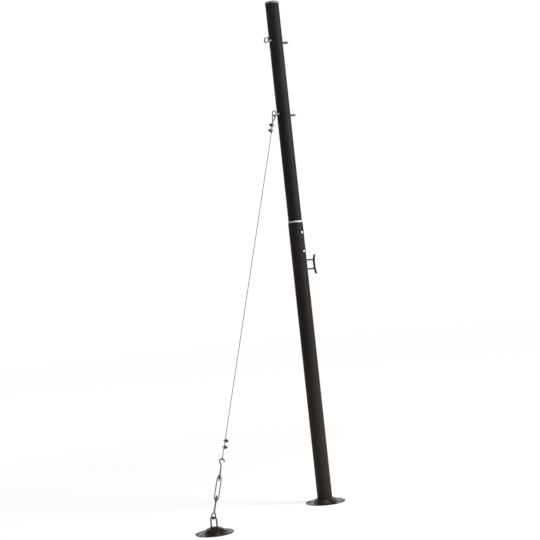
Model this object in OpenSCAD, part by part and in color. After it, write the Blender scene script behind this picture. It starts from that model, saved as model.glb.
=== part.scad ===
// Shade sail mast: a two-part tube standing on a domed foot plate, leaning
// against a taut wire guy with a turnbuckle that ends on a domed anchor plate.
// Millimetres, +Z up. The origin is the centre of the foot plate's underside;
// the guy and its anchor lie toward -X, the sail side and the cleat toward +X.

/* [Overall] */
// length of the mast from the ground to the top of its cap
mast_len = 2380; // [1900:5:2900]
// lean of the mast toward the anchor, degrees
lean = 1; // [0:0.1:9]
// distance from the centre of the foot plate to the centre of the anchor
anchor_dist = 685; // [500:5:950]

/* [Tubes] */
// outside diameter of the lower tube
lower_d = 70; // [58:0.5:84]
// wall of the lower tube
lower_wall = 2.5; // [2:0.1:4]
// wall of the upper tube
upper_wall = 2; // [1.5:0.1:3.5]
// height of the lower tube's top, along the mast
joint_len = 1317; // [1100:1:1600]
// length of upper tube held inside the lower one
overlap = 160; // [120:1:200]
// height of the split collar above the joint
collar_h = 7.5; // [6:0.5:12]
// visible height of the top cap
cap_h = 13; // [11.5:0.5:18]

/* [Plates] */
// sheet thickness of both plates
plate_t = 3; // [2.4:0.1:4]
// height of both domes above the ground
dome_h = 27; // [22:0.5:32]
// radius of each plate hole
hole_r = 6.5; // [4:0.5:7]
// outside radius of the foot plate
foot_r = 93; // [86:0.5:112]
// radius of the foot dome's sphere, on which the mast tilts
dome_r = 115; // [98:1:140]
// radius where the foot's dome turns into its slope
foot_crown_r = 48; // [42:0.5:52]
// radius where the foot's slope reaches its flange
foot_slope_r = 62; // [57:0.5:66]
// radius of the foot plate's bolt circle
foot_circle_r = 76; // [73.5:0.5:78.5]
// outside radius of the anchor plate
anchor_r = 82; // [75:0.5:99]
// radius of the anchor dome's sphere
anchor_dome_r = 80; // [70:1:98]
// radius where the anchor's dome turns into its slope
anchor_crown_r = 38; // [33:0.5:42]
// radius where the anchor's slope reaches its flange
anchor_slope_r = 51; // [46:0.5:55]
// radius of the anchor plate's bolt circle
anchor_circle_r = 65; // [62.5:0.5:67.5]
// turn of the foot plate's holes, degrees
foot_turn = -16; // [-45:1:45]
// turn of the anchor plate's holes, degrees
anchor_turn = -7; // [-45:1:45]

/* [Eyes] */
// depth of the upper pair of eyes below the top of the cap
upper_eye_drop = 190; // [120:1:260]
// depth of the lower pair of eyes below the top of the cap
lower_eye_drop = 543; // [400:1:650]
// mean radius of an eye ring
eye_ring_r = 12.25; // [10.75:0.25:15]
// radius of the bar an eye ring is bent from
eye_bar_r = 3.25; // [2.75:0.05:3.9]
// distance from the upper tube's surface to the middle of an eye ring
eye_stand = 30.25; // [22.75:0.25:34]
// turn of the upper outer eye about its bolt, degrees
upper_eye_turn = -28; // [-90:1:90]

/* [Screws and cleat] */
// depth of the upper joint screw below the joint
screw_1_drop = 50; // [30:1:60]
// depth of the lower joint screw below the joint
screw_2_drop = 139; // [110:1:145]
// depth of the cleat's middle below the joint
cleat_drop = 200; // [190:1:400]
// distance from the lower tube's surface to the middle of the cleat's bar
cleat_stand = 63; // [45:1:73]
// length of the cleat's bar
cleat_bar = 85; // [71:1:104]
// radius of the cleat's bar
cleat_bar_r = 5.3; // [4.4:0.1:6.4]
// spacing of the cleat's two legs
cleat_gap = 43; // [35:1:52]

/* [Guy] */
// radius of the wire
wire_r = 1.5; // [1.2:0.1:1.8]
// radius of the wire's bend round the thimble
thimble_r = 10.5; // [9.5:0.5:13]
// spacing of the two clips of a pair
clip_gap = 27.5; // [23:0.5:33]
// length of a clip's screwed legs
clip_leg = 16; // [14:0.5:20]

/* [Turnbuckle and loop] */
// length of the turnbuckle's body
body_len = 113; // [98:1:141]
// distance of each side bar from the turnbuckle's axis
body_bar_x = 8.8; // [7.4:0.1:10.6]
// radius of the turnbuckle's screwed rods
rod_r = 3.6; // [3:0.1:4.3]
// radius of the bar its hook and eye are bent from
link_bar_r = 3.1; // [2.6:0.1:3.7]
// distance from the loop's top bar to the turnbuckle's body
eye_rod_len = 65; // [57:1:81]
// distance from the turnbuckle's body to the middle of its hook
hook_rod_len = 57; // [50:1:72]
// turn of the hook and body about the guy, degrees
hook_turn = 137; // [0:1:360]
// height of the middle of the anchor loop's top bar
loop_h = 66; // [57:1:80]
// spacing of the anchor loop's legs
loop_w = 38; // [32:1:45]
// radius of the anchor loop's bar
loop_bar_r = 3.25; // [2.7:0.05:3.9]

/* [Hidden] */
$fn = 48;
fit = 0.25;                 // clearance of parts that are held together
run = 0.1;                  // clearance of a screwed rod in its nut
past = 1;                   // how far a cutter runs past what it cuts
full = 1.06;                // fullness of the ball at a bar's corner or end
tilt_c = dome_h - dome_r;   // height of the centre the mast tilts about
lower_r = lower_d / 2;
upper_r = lower_r - lower_wall - fit;
bore_r = lower_r - lower_wall;
tube_foot = sqrt(dome_r * dome_r - bore_r * bore_r) + fit;
joint_s = joint_len - tilt_c;
tube_top = mast_len - tilt_c - cap_h;
tube_low = joint_s - overlap;
upper_eye_s = mast_len - tilt_c - upper_eye_drop;
lower_eye_s = mast_len - tilt_c - lower_eye_drop;
cleat_s = joint_s - cleat_drop;
cleat_reach = lower_r + cleat_stand;
eye_reach = upper_r + eye_stand;
screw_1_s = joint_s - screw_1_drop;
screw_2_s = joint_s - screw_2_drop;
eye_bolt_r = 4;
eye_neck_r = eye_bolt_r + 1.6;
eye_collar_r = 7;
eye_collar_h = 5;
// joint collar's split, top cap, joint screws and the cleat's fixing
collar_wall = 1.4;
split_w = 1.6;
split_turn = 152;
split_slope = 40;
lid_over = 1.1;             // how far the cap's lid stands past the tube
lid_edge_h = 10.2;
lid_curve = 220;
skirt_l = 24;
skirt_wall = 3;
screw_r = 4;
screw_head_r = 6.5;
screw_rim_h = 1.6;
screw_crown_r = 4.2;
screw_crown_h = 2.6;
key_r = 2.6;
key_floor = 1.8;
cleat_sag = 7;              // how far the cleat's bar bows toward the tube
cleat_leg_r = 3.6;
cleat_foot_r = 6.5;
cleat_foot_h = 3;
cleat_stud_r = 3;
// guy: from the anchor loop's top bar to the middle of the lower outer eye
eye_x = -lower_eye_s * sin(lean) - eye_reach * cos(lean);
eye_z = tilt_c + lower_eye_s * cos(lean) - eye_reach * sin(lean);
guy_dx = eye_x + anchor_dist;
guy_dz = eye_z - loop_h;
guy_len = sqrt(guy_dx * guy_dx + guy_dz * guy_dz);
guy_tilt = atan2(guy_dx, guy_dz);
// thimble and the wire's upper loop, measured down from the eye ring
channel_r = wire_r + 1.4;
channel_bore = wire_r + 0.15;
thimble_in = thimble_r - channel_r;
crown_s = guy_len - eye_ring_r - (thimble_in - eye_bar_r - fit);
strand_gap = 2 * wire_r + 0.4;
strand_run = 17;            // from where the strands meet to the first clip
tail_run = 14;              // from the second clip to the end of the tail
loop_drop = 2.5 * thimble_r;
top_strand_s = crown_s - loop_drop;
top_clip_1_s = top_strand_s - strand_run;
top_clip_2_s = top_clip_1_s - clip_gap;
top_tail_s = top_clip_2_s - tail_run;
// hook and the wire's lower loop, measured up from the anchor loop
body_s = eye_rod_len;
hook_s = body_s + body_len + hook_rod_len;
hook_ring_r = 10;
low_bend_r = 6.5;
low_bend_s = hook_s + hook_ring_r - link_bar_r - wire_r - fit + low_bend_r;
low_drop = 32;              // from the lower bend to where its strands meet
low_strand_s = low_bend_s + low_drop;
low_clip_1_s = low_strand_s + strand_run;
low_clip_2_s = low_clip_1_s + clip_gap;
low_tail_s = low_clip_2_s + tail_run;
hook_neck = 16;             // from the hook's middle down to where its shank bends
body_bar_r = 2.3;
boss_h = 16;
boss_wall = 1.9;
boss_half = 6;              // half the thickness of the body
rod_in = 26;                // length of screwed rod inside the body
rod_out = 24;               // length of the hook's screwed rod above the body
pear_r = 11;                // bend of the pear eye below the body
pear_top = 22;
// clip
clip_bolt_r = 2.2;
clip_half = strand_gap / 2 + wire_r + fit + clip_bolt_r;
saddle_h = 7;
saddle_l = 17;
saddle_side = 4.2;
nut_r = 4.6;
nut_h = 4;
// anchor loop
loop_corner = 11;
loop_foot = 12;             // height of the legs' feet inside the dome

// ---- placing ----

// a frame on the mast's axis, s above the centre it tilts about
module on_mast(s) {
    translate([0, 0, tilt_c]) rotate([0, -lean, 0]) translate([0, 0, s]) children();
}

// a frame on the guy's axis, s above the anchor loop's top bar
module on_guy(s, turn = 0) {
    translate([-anchor_dist, 0, loop_h]) rotate([0, guy_tilt, 0])
        translate([0, 0, s]) rotate([0, 0, turn]) children();
}

// ---- shared shapes ----

// round bar of radius r bent to radius big in the XZ plane, from angle a to b
module bend(big, r, a, b) {
    rotate([90, 0, 0]) rotate([0, 0, a]) rotate_extrude(angle = b - a)
        translate([big, 0]) circle(r = r);
}

// ball that closes the corner or the end of a round bar, a little fuller than it
module knuckle(p, r) {
    translate([p[0], 0, p[1]]) sphere(r = full * r);
}

// straight round bar between two points of the XZ plane
module bar(p, q, r) {
    d = q - p;
    translate([p[0], 0, p[1]]) rotate([0, atan2(d[0], d[1]), 0])
        cylinder(h = norm(d), r = r);
    knuckle(p, r);
    knuckle(q, r);
}

// pressed plate: spherical crown, sloping shoulder, flat flange and round rim
module plate(big, ball, crown, slope, circle_r, turn) {
    ball_z = dome_h - ball;
    crown_z = ball_z + sqrt(ball * ball - crown * crown);
    over = slope - crown;
    rise = crown_z - plate_t;
    side = sqrt(over * over + rise * rise);
    drop = plate_t * side / over;
    lap = 0.6;              // how far the shoulder runs under the crown
    rim = big - plate_t / 2;
    difference() {
        union() {
            intersection() {
                translate([0, 0, ball_z]) difference() {
                    sphere(r = ball, $fn = 96);
                    sphere(r = ball - plate_t, $fn = 96);
                }
                cylinder(h = dome_h + past, r = crown);
            }
            rotate_extrude($fn = 96) polygon([
                [crown - lap, crown_z - drop + lap * rise / over],
                [crown - lap, crown_z], [crown, crown_z], [slope, plate_t],
                [rim, plate_t], [rim, 0],
                [slope + (plate_t - drop) * over / rise, 0]]);
            translate([0, 0, plate_t / 2]) rotate_extrude($fn = 96)
                translate([rim, 0]) circle(r = plate_t / 2, $fn = 24);
        }
        for (k = [0 : 3]) rotate([0, 0, turn + 90 * k])
            translate([circle_r, 0, -past]) cylinder(h = plate_t + 2 * past, r = hole_r);
    }
}

// eye ring with the neck and collar that seat on the upper tube, toward +X
module eye_head(turn) {
    translate([eye_reach, 0, 0]) rotate([turn, 0, 0]) bend(eye_ring_r, eye_bar_r, 0, 360);
    seat = upper_r + fit;
    translate([seat, 0, 0]) rotate([0, 90, 0]) {
        cylinder(h = eye_collar_h, r = eye_collar_r);
        cylinder(h = eye_reach - eye_ring_r - seat + 1, r = eye_neck_r);
    }
}

// outer eye: its shank runs through both walls into the inner eye's neck
module outer_eye(turn) {
    mirror([1, 0, 0]) eye_head(turn);
    reach = eye_reach - eye_ring_r - eye_bar_r;
    translate([-upper_r - 1, 0, 0]) rotate([0, 90, 0])
        cylinder(h = upper_r + 1 + reach, r = eye_bolt_r);
}

// inner eye: screwed on the end of the outer eye's shank
module inner_eye() {
    reach = eye_reach - eye_ring_r - eye_bar_r;
    difference() {
        eye_head(90);
        translate([upper_r, 0, 0]) rotate([0, 90, 0])
            cylinder(h = reach - upper_r + fit, r = eye_bolt_r + fit);
    }
}

// joint screw on the -Y side: round head with a six-sided recess
module joint_screw() {
    translate([0, -lower_r - fit, 0]) rotate([90, 0, 0]) difference() {
        union() {
            cylinder(h = screw_rim_h, r = screw_head_r);
            translate([0, 0, screw_rim_h])
                cylinder(h = screw_crown_h, r1 = screw_head_r, r2 = screw_crown_r);
            translate([0, 0, -10]) cylinder(h = 10.5, r = screw_r);
        }
        translate([0, 0, key_floor]) cylinder(h = screw_crown_h + past, r = key_r, $fn = 6);
    }
}

// wire clip saddle: the block that bridges both strands, legs toward +Y
module saddle() {
    translate([strand_gap / 2, 0, 0]) difference() {
        translate([-clip_half - saddle_side, wire_r + fit, -saddle_l / 2])
            cube([2 * (clip_half + saddle_side), saddle_h, saddle_l]);
        for (side = [-1, 1]) translate([side * clip_half, 0, 0]) rotate([-90, 0, 0])
            cylinder(h = saddle_h + 4, r = clip_bolt_r + fit);
    }
}

// wire clip bolt: bent round both strands, with two screwed legs
module clip_bolt() {
    translate([strand_gap / 2, 0, 0]) {
        rotate([0, 0, 180]) rotate_extrude(angle = 180)
            translate([clip_half, 0]) circle(r = clip_bolt_r);
        for (side = [-1, 1]) translate([side * clip_half, 0, 0]) rotate([-90, 0, 0])
            cylinder(h = clip_leg, r = clip_bolt_r);
    }
}

// the two nuts of a wire clip
module clip_nuts() {
    for (side = [-1, 1])
        translate([strand_gap / 2 + side * clip_half, wire_r + 2 * fit + saddle_h, 0])
            rotate([-90, 0, 0]) difference() {
                cylinder(h = nut_h, r = nut_r, $fn = 6);
                translate([0, 0, -past]) cylinder(h = nut_h + 2 * past, r = clip_bolt_r + fit);
            }
}

// the wire's loop in the XZ plane: bend of radius big round the origin, its
// two strands drawn together at a distance below, main strand at x = 0
module wire_loop(big, below, tail) {
    p = [0, -below];
    q = [strand_gap, -below];
    a = asin(big / below);
    far = norm(q);
    b = asin(big / far) - atan2(strand_gap, below);
    bend(big, wire_r, -b, 180 + a);
    bar(p, [-big * cos(a), -big * sin(a)], wire_r);
    bar(q, [big * cos(b), -big * sin(b)], wire_r);
    bar(q, [strand_gap, -tail], wire_r);
}

// cross-section of the thimble: a half-round channel open to the outside
module channel(skin = 0) {
    difference() {
        circle(r = channel_r + skin);
        circle(r = channel_bore - skin);
        translate([0.5 + skin, -channel_r - 1]) square([channel_r + 1, 2 * channel_r + 2]);
    }
}

// ---- mast ----

module foot_plate() {
    color("#1d1a19")
        plate(foot_r, dome_r, foot_crown_r, foot_slope_r, foot_circle_r, foot_turn);
}

module lower_tube() {
    color("#201f1f") on_mast(0) difference() {
        translate([0, 0, tube_foot]) cylinder(h = joint_s - tube_foot, r = lower_r);
        translate([0, 0, tube_foot - past])
            cylinder(h = joint_s - tube_foot + 2 * past, r = bore_r);
        for (s = [screw_1_s, screw_2_s]) translate([0, 0, s]) rotate([90, 0, 0])
            cylinder(h = lower_r + past, r = screw_r + fit);
        for (side = [-1, 1]) translate([0, 0, cleat_s + side * cleat_gap / 2])
            rotate([0, 90, 0]) cylinder(h = lower_r + past, r = cleat_stud_r + fit);
    }
}

module joint_collar() {
    color("#b9babb") on_mast(joint_s) difference() {
        translate([0, 0, fit]) cylinder(h = collar_h, r = upper_r + fit + collar_wall);
        translate([0, 0, -past]) cylinder(h = collar_h + 3 * past, r = upper_r + fit);
        rotate([0, 0, split_turn]) translate([bore_r, 0, collar_h / 2])
            rotate([split_slope, 0, 0]) translate([-3, -split_w / 2, -collar_h])
                cube([6, split_w, 2 * collar_h]);
    }
}

module upper_tube() {
    color("#232326") on_mast(0) difference() {
        translate([0, 0, tube_low]) cylinder(h = tube_top - tube_low, r = upper_r);
        translate([0, 0, tube_low - past])
            cylinder(h = tube_top - tube_low + 2 * past, r = upper_r - upper_wall);
        for (s = [screw_1_s, screw_2_s]) translate([0, 0, s]) rotate([90, 0, 0])
            cylinder(h = upper_r + past, r = screw_r + fit);
        for (s = [upper_eye_s, lower_eye_s]) translate([-upper_r - past, 0, s])
            rotate([0, 90, 0]) cylinder(h = 2 * (upper_r + past), r = eye_bolt_r + fit);
    }
}

module top_cap() {
    lid_r = upper_r + lid_over;
    skirt_r = upper_r - upper_wall - fit;
    lid_top = 0.2;          // how far the crown's base stands above the rim's top
    crown_at = lid_edge_h + lid_top;
    color("#8f9092") on_mast(tube_top) {
        translate([0, 0, fit]) cylinder(h = lid_edge_h, r = lid_r);
        translate([0, 0, crown_at]) intersection() {
            cylinder(h = cap_h - crown_at, r = lid_r);
            translate([0, 0, cap_h - crown_at - lid_curve]) sphere(r = lid_curve, $fn = 96);
        }
        translate([0, 0, -skirt_l]) difference() {
            cylinder(h = skirt_l + 2, r = skirt_r);
            translate([0, 0, -past]) cylinder(h = skirt_l, r = skirt_r - skirt_wall);
        }
    }
}

module joint_screw_upper() {
    color("#c3c4c6") on_mast(screw_1_s) joint_screw();
}

module joint_screw_lower() {
    color("#c3c4c6") on_mast(screw_2_s) joint_screw();
}

module outer_upper_eye() {
    color("#c8c9cb") on_mast(upper_eye_s) outer_eye(upper_eye_turn);
}

module inner_upper_eye() {
    color("#c8c9cb") on_mast(upper_eye_s) inner_eye();
}

module outer_lower_eye() {
    color("#c8c9cb") on_mast(lower_eye_s) outer_eye(0);
}

module inner_lower_eye() {
    color("#c8c9cb") on_mast(lower_eye_s) inner_eye();
}

module cleat() {
    half = cleat_bar / 2;
    bow_r = (half * half + cleat_sag * cleat_sag) / (2 * cleat_sag);
    spread = asin(half / bow_r);
    seat = lower_r + fit;
    stud_in = lower_wall + 2;
    color("#161617") on_mast(cleat_s) {
        translate([cleat_reach + bow_r, 0, 0]) bend(bow_r, cleat_bar_r, 180 - spread, 180 + spread);
        for (side = [-1, 1]) {
            knuckle([cleat_reach + cleat_sag, side * half], cleat_bar_r);
            translate([seat, 0, side * cleat_gap / 2]) rotate([0, 90, 0]) {
                cylinder(h = cleat_foot_h, r = cleat_foot_r);
                cylinder(h = cleat_reach - seat + 1.5, r = cleat_leg_r);
                translate([0, 0, -stud_in]) cylinder(h = stud_in + 1, r = cleat_stud_r);
            }
        }
    }
}

// ---- guy ----

module thimble() {
    a = asin(thimble_r / loop_drop);
    far = norm([strand_gap, loop_drop]);
    b = asin(thimble_r / far) - atan2(strand_gap, loop_drop);
    tip = 6.5;              // free length of strand below the thimble's point
    lap = 0.4;              // how far each straight side runs into the bend
    color("#c2c4c6") on_guy(crown_s, 90) {
        rotate([90, 0, 0]) rotate([0, 0, -b]) {
            rotate_extrude(angle = 180 + a + b) translate([thimble_r, 0]) channel();
            translate([thimble_r, lap, 0]) rotate([90, 0, 0])
                linear_extrude(height = thimble_r / tan(a) - tip) channel(0.05);
            rotate([0, 0, 180 + a + b]) translate([thimble_r, -lap, 0]) rotate([-90, 0, 0])
                linear_extrude(height = thimble_r / tan(a) - tip) channel(0.05);
        }
    }
}

module guy_wire() {
    color("#a5a7a9") {
        on_guy(crown_s, 90) wire_loop(thimble_r, loop_drop, crown_s - top_tail_s);
        on_guy(low_bend_s, hook_turn + 90) mirror([0, 0, 1])
            wire_loop(low_bend_r, low_strand_s - low_bend_s, low_tail_s - low_bend_s);
        on_guy(low_strand_s) cylinder(h = top_strand_s - low_strand_s, r = wire_r);
    }
}

module top_clip_1_saddle() {
    color("#5b5a50") on_guy(top_clip_1_s, 90) saddle();
}

module top_clip_1_bolt() {
    color("#77787a") on_guy(top_clip_1_s, 90) clip_bolt();
}

module top_clip_1_nuts() {
    color("#77787a") on_guy(top_clip_1_s, 90) clip_nuts();
}

module top_clip_2_saddle() {
    color("#5b5a50") on_guy(top_clip_2_s, 90) saddle();
}

module top_clip_2_bolt() {
    color("#77787a") on_guy(top_clip_2_s, 90) clip_bolt();
}

module top_clip_2_nuts() {
    color("#77787a") on_guy(top_clip_2_s, 90) clip_nuts();
}

module low_clip_1_saddle() {
    color("#5b5a50") on_guy(low_clip_1_s, hook_turn + 90) saddle();
}

module low_clip_1_bolt() {
    color("#77787a") on_guy(low_clip_1_s, hook_turn + 90) clip_bolt();
}

module low_clip_1_nuts() {
    color("#77787a") on_guy(low_clip_1_s, hook_turn + 90) clip_nuts();
}

module low_clip_2_saddle() {
    color("#5b5a50") on_guy(low_clip_2_s, hook_turn + 90) saddle();
}

module low_clip_2_bolt() {
    color("#77787a") on_guy(low_clip_2_s, hook_turn + 90) clip_bolt();
}

module low_clip_2_nuts() {
    color("#77787a") on_guy(low_clip_2_s, hook_turn + 90) clip_nuts();
}

// ---- turnbuckle ----

module turnbuckle_hook() {
    start = -25;
    tip = 195;
    body_top = body_s + body_len;
    tip_at = [hook_ring_r * cos(tip), hook_s + hook_ring_r * sin(tip)];
    start_at = [hook_ring_r * cos(start), hook_s + hook_ring_r * sin(start)];
    color("#8d9093") on_guy(0, hook_turn) {
        translate([0, 0, hook_s]) bend(hook_ring_r, link_bar_r, start, tip);
        knuckle(tip_at, link_bar_r);
        bar([0, hook_s - hook_neck], start_at, link_bar_r);
        bar([0, body_top + rod_out - 2], [0, hook_s - hook_neck], link_bar_r);
        translate([0, 0, body_top - rod_in]) cylinder(h = rod_in + rod_out, r = rod_r);
    }
}

module turnbuckle_body() {
    wide = body_bar_x + body_bar_r + 0.3;
    narrow = rod_r + boss_wall;
    lap = 4;                // how far each side bar runs into its boss
    color("#7f8285") on_guy(body_s, hook_turn) difference() {
        union() {
            for (side = [-1, 1]) translate([side * body_bar_x, 0, boss_h - lap])
                cylinder(h = body_len - 2 * (boss_h - lap), r = body_bar_r);
            intersection() {
                union() {
                    cylinder(h = boss_h, r1 = narrow, r2 = wide);
                    translate([0, 0, body_len - boss_h])
                        cylinder(h = boss_h, r1 = wide, r2 = narrow);
                }
                translate([-wide, -boss_half, -past])
                    cube([2 * wide, 2 * boss_half, body_len + 2 * past]);
            }
        }
        translate([0, 0, -past]) cylinder(h = body_len + 2 * past, r = rod_r + run);
    }
}

module turnbuckle_eye() {
    low_z = pear_r - loop_bar_r - link_bar_r - fit;
    a = asin(pear_r / (pear_top - low_z));
    side_at = [pear_r * cos(a), low_z + pear_r * sin(a)];
    color("#8d9093") on_guy(0) {
        translate([0, 0, low_z]) bend(pear_r, link_bar_r, 180 - a, 360 + a);
        bar([0, pear_top], side_at, link_bar_r);
        bar([0, pear_top], [-side_at[0], side_at[1]], link_bar_r);
        translate([0, 0, pear_top]) cylinder(h = body_s + rod_in - pear_top, r = rod_r);
    }
}

// ---- anchor ----

module anchor_loop() {
    half = loop_w / 2;
    turn_x = half - loop_corner;
    turn_z = loop_h - loop_corner;
    color("#1b1b1c") translate([-anchor_dist, 0, 0]) rotate([0, 0, 90]) {
        bar([-half, loop_foot], [-half, turn_z], loop_bar_r);
        bar([half, loop_foot], [half, turn_z], loop_bar_r);
        bar([-turn_x, loop_h], [turn_x, loop_h], loop_bar_r);
        translate([turn_x, 0, turn_z]) bend(loop_corner, loop_bar_r, 0, 90);
        translate([-turn_x, 0, turn_z]) bend(loop_corner, loop_bar_r, 90, 180);
    }
}

module anchor_plate() {
    color("#1d1a19") translate([-anchor_dist, 0, 0]) difference() {
        plate(anchor_r, anchor_dome_r, anchor_crown_r, anchor_slope_r, anchor_circle_r, anchor_turn);
        for (side = [-1, 1]) translate([0, side * loop_w / 2, past])
            cylinder(h = dome_h, r = loop_bar_r + fit);
    }
}

foot_plate();
lower_tube();
joint_collar();
upper_tube();
top_cap();
joint_screw_upper();
joint_screw_lower();
outer_upper_eye();
inner_upper_eye();
outer_lower_eye();
inner_lower_eye();
cleat();
thimble();
guy_wire();
top_clip_1_saddle();
top_clip_1_bolt();
top_clip_1_nuts();
top_clip_2_saddle();
top_clip_2_bolt();
top_clip_2_nuts();
low_clip_1_saddle();
low_clip_1_bolt();
low_clip_1_nuts();
low_clip_2_saddle();
low_clip_2_bolt();
low_clip_2_nuts();
turnbuckle_hook();
turnbuckle_body();
turnbuckle_eye();
anchor_loop();
anchor_plate();
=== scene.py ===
import bmesh
import bpy
import numpy as np
from mathutils import Matrix


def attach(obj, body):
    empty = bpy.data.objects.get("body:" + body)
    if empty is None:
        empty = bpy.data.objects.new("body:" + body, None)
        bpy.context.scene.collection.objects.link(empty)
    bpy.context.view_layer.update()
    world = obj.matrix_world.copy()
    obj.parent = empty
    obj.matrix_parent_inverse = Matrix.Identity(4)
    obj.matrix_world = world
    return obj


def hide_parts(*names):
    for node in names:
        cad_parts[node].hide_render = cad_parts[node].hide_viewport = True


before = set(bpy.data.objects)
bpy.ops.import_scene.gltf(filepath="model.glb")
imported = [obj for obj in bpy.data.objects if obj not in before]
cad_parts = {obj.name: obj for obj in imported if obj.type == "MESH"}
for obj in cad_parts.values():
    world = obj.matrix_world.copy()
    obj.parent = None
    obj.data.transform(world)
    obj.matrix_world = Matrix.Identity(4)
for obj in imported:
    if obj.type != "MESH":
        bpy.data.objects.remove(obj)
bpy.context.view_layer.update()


# ---- Foot plate and anchor plate ----
# Two steel blanks pressed to a shallow dome with a sloping shoulder and a flat
# flange, drilled four times for ground bolts and painted gloss black.

# lengths are in millimetres; neighbouring pieces keep the clearance between them
CLEARANCE = 0.25
PLATE_T = 3.0
DOME_H = 27.0
HOLE_R = 6.5
HOLE_LIP = 0.6
HOLE_SPAN = np.radians(12)
RING_STEP = HOLE_SPAN / 8
FOOT = dict(big=93.0, ball=115.0, crown_r=48.0, slope_r=62.0, circle_r=76.0,
            turn=np.radians(-16))
ANCHOR = dict(big=82.0, ball=80.0, crown_r=38.0, slope_r=51.0, circle_r=65.0,
              turn=np.radians(-7))
ANCHOR_AT = np.array([-685.0, 0.0, 0.0])
DOME_Z = DOME_H - FOOT["ball"]
FLANGE_IN = 4.5
FLANGE_OUT = 4.0
TOP_BEND = 2.6
UNDER_BEND = 2.2
MILLIMETRE = 0.001


def rounded(corners, reach, steps=5, closed=False):
    """Softens a line of corners: each becomes a parabola, the corner plus
    (1 - t) squared of reach toward the corner before and t squared toward the next."""
    c = np.asarray(corners, float)
    back = np.roll(c, 1, 0) - c
    ahead = np.roll(c, -1, 0) - c
    back /= np.linalg.norm(back, axis=1)[:, None]
    ahead /= np.linalg.norm(ahead, axis=1)[:, None]
    t = np.linspace(0, 1, steps + 1)[None, :, None]
    reach = np.broadcast_to(reach, len(c))[:, None, None]
    bends = c[:, None] + reach * ((1 - t) ** 2 * back[:, None] + t ** 2 * ahead[:, None])
    if closed:
        line = bends.reshape(-1, c.shape[1])
        return np.concatenate([line, line[:1]])
    return np.concatenate([c[:1], bends[1:-1].reshape(-1, c.shape[1]), c[-1:]])


def spun(profile, around, start=0.0, turn=2 * np.pi):
    """Turns a line of (radius, height) points about Z: x is the radius times the
    angle's cosine, y the radius times its sine."""
    profile = np.asarray(profile, float)
    angle = start + np.linspace(0, turn, around + 1)
    r, z = profile[:, :1], profile[:, 1:]
    return np.stack([r * np.cos(angle), r * np.sin(angle), z + 0 * angle], -1)


def make_piece(name, skins, node, body, material, crease=38):
    """Joins grids of points, in millimetres, into one closed mesh: every four
    neighbours of a grid are a face, equal points are merged, faces turned outwards."""
    points, faces, start = [], [], 0
    for skin in skins:
        rows, cols = skin.shape[:2]
        first = (start + np.arange(rows - 1)[:, None] * cols + np.arange(cols - 1)).ravel()
        faces.append(np.stack([first, first + 1, first + cols + 1, first + cols], -1))
        points.append(skin.reshape(-1, 3))
        start += rows * cols
    mesh = bpy.data.meshes.new(name)
    mesh.from_pydata((np.concatenate(points) * MILLIMETRE).tolist(), [],
                     np.concatenate(faces).tolist())
    shape = bmesh.new()
    shape.from_mesh(mesh)
    bmesh.ops.remove_doubles(shape, verts=shape.verts, dist=2e-6)
    bmesh.ops.dissolve_degenerate(shape, edges=shape.edges, dist=1e-7)
    bmesh.ops.recalc_face_normals(shape, faces=shape.faces)
    shape.to_mesh(mesh)
    shape.free()
    mesh.shade_smooth()
    mesh.set_sharp_from_angle(angle=np.radians(crease))
    mesh.materials.append(material)
    piece = bpy.data.objects.new(name, mesh)
    bpy.context.scene.collection.objects.link(piece)
    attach(piece, body)
    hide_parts(node)


def make_group(name, inputs, outputs):
    """Starts a shader group with these named sockets and returns it with its two ends."""
    group = bpy.data.node_groups.new(name, "ShaderNodeTree")
    for label, kind in inputs:
        group.interface.new_socket(label, in_out="INPUT", socket_type="NodeSocket" + kind)
    for label, kind in outputs:
        group.interface.new_socket(label, in_out="OUTPUT", socket_type="NodeSocket" + kind)
    return group, group.nodes.new("NodeGroupInput"), group.nodes.new("NodeGroupOutput")


def noise_in(tree, vector, scale, detail):
    """Adds a noise texture on vector; scale is a number or a socket to read it from."""
    noise = tree.nodes.new("ShaderNodeTexNoise")
    noise.inputs["Detail"].default_value = detail
    tree.links.new(vector, noise.inputs["Vector"])
    if isinstance(scale, (int, float)):
        noise.inputs["Scale"].default_value = scale
    else:
        tree.links.new(scale, noise.inputs["Scale"])
    return noise.outputs["Fac"]


def math_in(tree, operation, first, second):
    """Adds one step of arithmetic on two sockets."""
    step = tree.nodes.new("ShaderNodeMath")
    step.operation = operation
    tree.links.new(first, step.inputs[0])
    tree.links.new(second, step.inputs[1])
    return step.outputs[0]


def spread_in(tree, value, low, high, to_low=0.0, to_high=1.0):
    """Adds a map of value from low..high to to_low..to_high, numbers or sockets."""
    spread = tree.nodes.new("ShaderNodeMapRange")
    tree.links.new(value, spread.inputs["Value"])
    spread.inputs["From Min"].default_value = low
    spread.inputs["From Max"].default_value = high
    for label, end in (("To Min", to_low), ("To Max", to_high)):
        if isinstance(end, (int, float)):
            spread.inputs[label].default_value = end
        else:
            tree.links.new(end, spread.inputs[label])
    return spread.outputs["Result"]


def blend_in(tree, factor, low, high):
    """Adds a colour mix by factor between the two colour sockets."""
    mix = tree.nodes.new("ShaderNodeMix")
    mix.data_type = "RGBA"
    tree.links.new(factor, mix.inputs["Factor"])
    tree.links.new(low, mix.inputs[6])
    tree.links.new(high, mix.inputs[7])
    return mix.outputs[2]


SKIN_IN = [("Vector", "Vector"), ("Deep", "Color"), ("Pale", "Color"),
           ("Grain", "Float"), ("Smooth", "Float"), ("Rough", "Float")]
SKIN_OUT = [("Color", "Color"), ("Roughness", "Float"), ("Height", "Float")]
RELIEF = 0.0004
PATCH_SCALE = 22.0

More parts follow.
